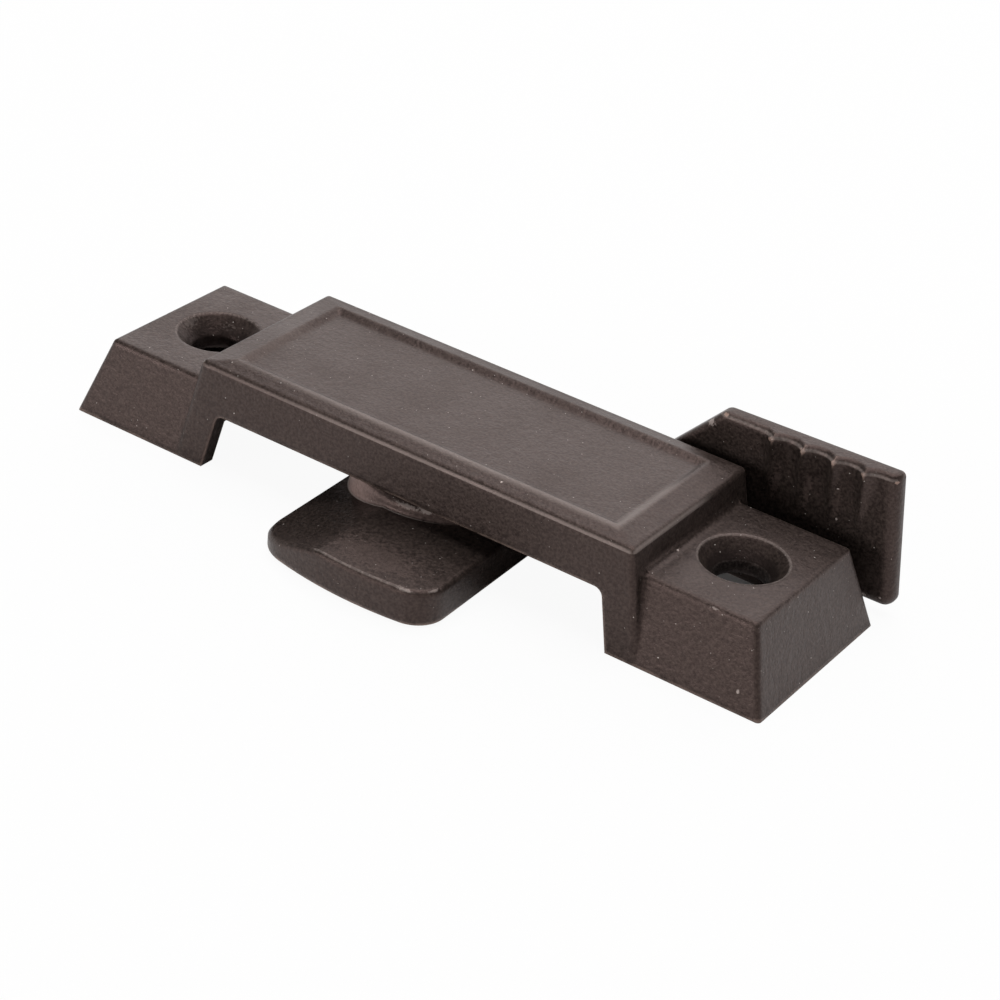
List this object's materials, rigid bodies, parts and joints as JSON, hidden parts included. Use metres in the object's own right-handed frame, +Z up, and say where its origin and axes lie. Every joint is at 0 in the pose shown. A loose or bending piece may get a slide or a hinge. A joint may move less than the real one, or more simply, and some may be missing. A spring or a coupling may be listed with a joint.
{
  "type": "sliding window lock",
  "caption": "Die-cast sliding window lock: hollow bridge housing on two screw feet, with a swinging cam lever that has a front tongue and a ridged thumb tab behind.",
  "frame": {"origin": "middle of the two screw holes, on the surface that the feet stand on", "axes": "+X along the housing towards the thumb tab's end, +Y from the tongue side to the thumb tab side, +Z up out of the mounting surface"},
  "size_m": [0.0831, 0.0354, 0.0154],
  "materials": {
    "bronze_paint": "satin dark bronze paint on a zinc die casting",
    "lever_paint": "satin dark bronze paint on a zinc die casting, worn bright on its edges",
    "spring_steel": "bare spring steel",
    "plated_steel": "zinc-plated steel"
  },
  "bodies": {
    "housing": {"housing": "bronze_paint", "spring_washer": "spring_steel", "flat_washer": "plated_steel", "pivot_screw": "plated_steel"},
    "lever": {"latch_lever": "lever_paint"}
  },
  "joints": [
    {"name": "lever_swing", "type": "hinge", "parent": "housing", "child": "lever", "pos_m": [-0.0016, 0, 0.0036], "axis": [0, 0, 1], "range_deg": [0, 90]}
  ]
}
